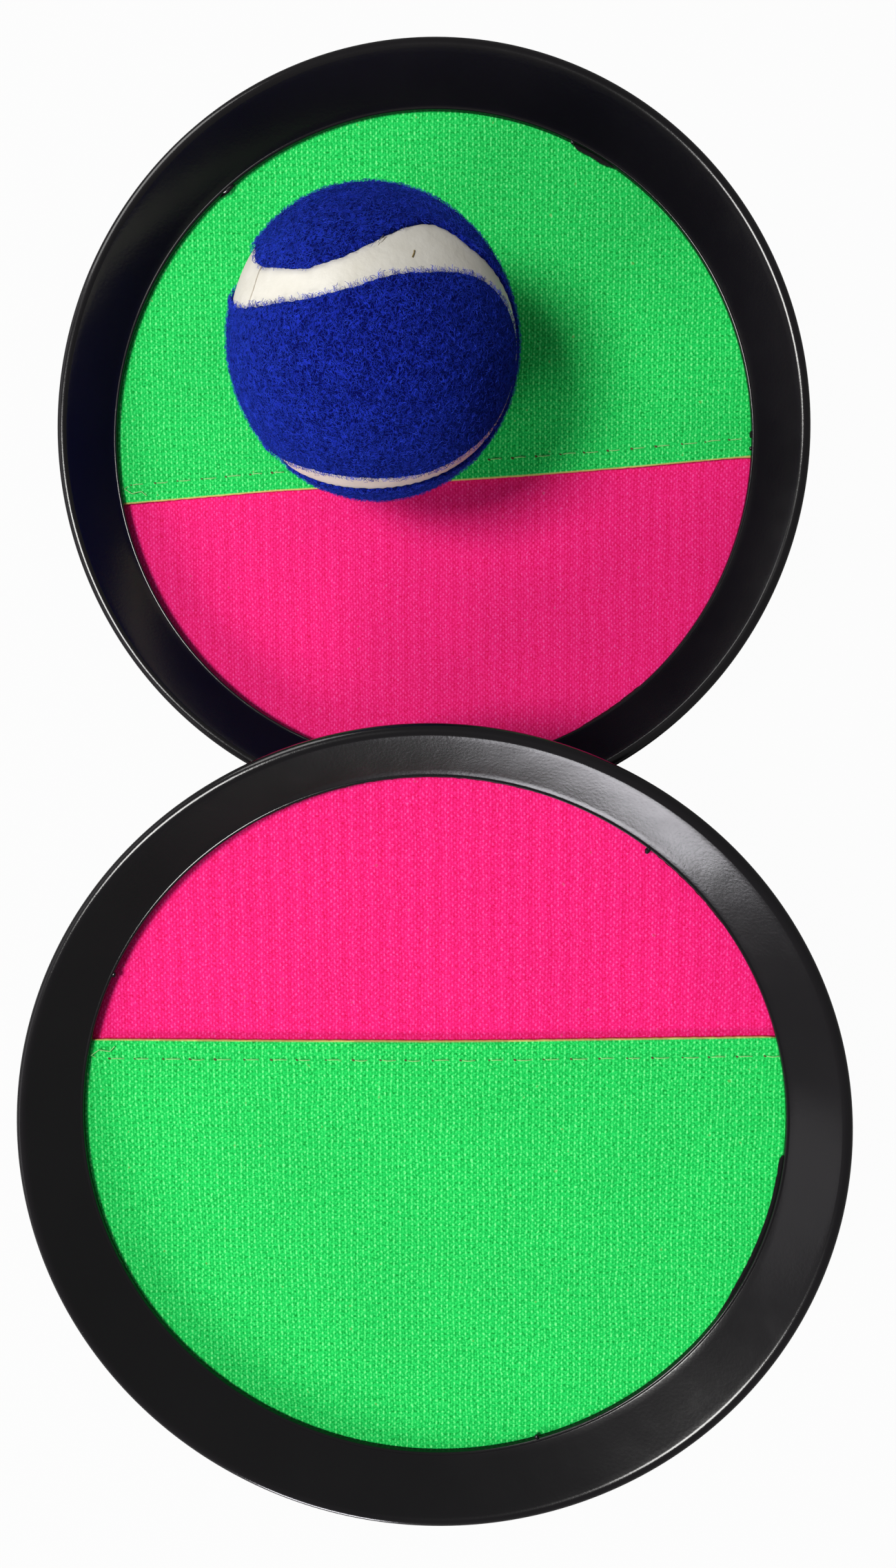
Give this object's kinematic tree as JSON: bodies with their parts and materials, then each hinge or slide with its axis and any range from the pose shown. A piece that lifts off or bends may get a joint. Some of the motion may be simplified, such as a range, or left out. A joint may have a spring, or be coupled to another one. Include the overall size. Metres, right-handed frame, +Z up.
{
  "type": "hook and loop catch set",
  "caption": "Round rimmed catch paddles faced with two-colour hook cloth, with hand straps behind, and a felt-covered rubber ball that sticks to them.",
  "frame": {"origin": "middle of the whole set's box, on the floor that both paddles and their straps lie on", "axes": "+Z up; +Y from the paddle lying in front to the paddle behind that carries the ball; +X to the right as seen from the front"},
  "size_m": [0.1827, 0.3408, 0.099],
  "materials": {
    "black_plastic": "satin moulded",
    "green_hook_cloth": "ribbed hook cloth",
    "pink_hook_cloth": "ribbed hook cloth",
    "sewing_thread": "twisted thread",
    "black_webbing": "woven webbing",
    "blue_felt": "napped felt",
    "white_rubber": "matt, slightly soiled"
  },
  "bodies": {
    "root": {"upper_ring": "black_plastic", "upper_green_panel": "green_hook_cloth", "upper_pink_panel": "pink_hook_cloth", "upper_seam_thread": "sewing_thread", "upper_hand_strap": "black_webbing", "lower_ring": "black_plastic", "lower_green_panel": "green_hook_cloth", "lower_pink_panel": "pink_hook_cloth", "lower_seam_thread": "sewing_thread", "lower_hand_strap": "black_webbing", "ball_core": "white_rubber", "felt_panel_a": "blue_felt", "felt_panel_b": "blue_felt"}
  },
  "joints": []
}
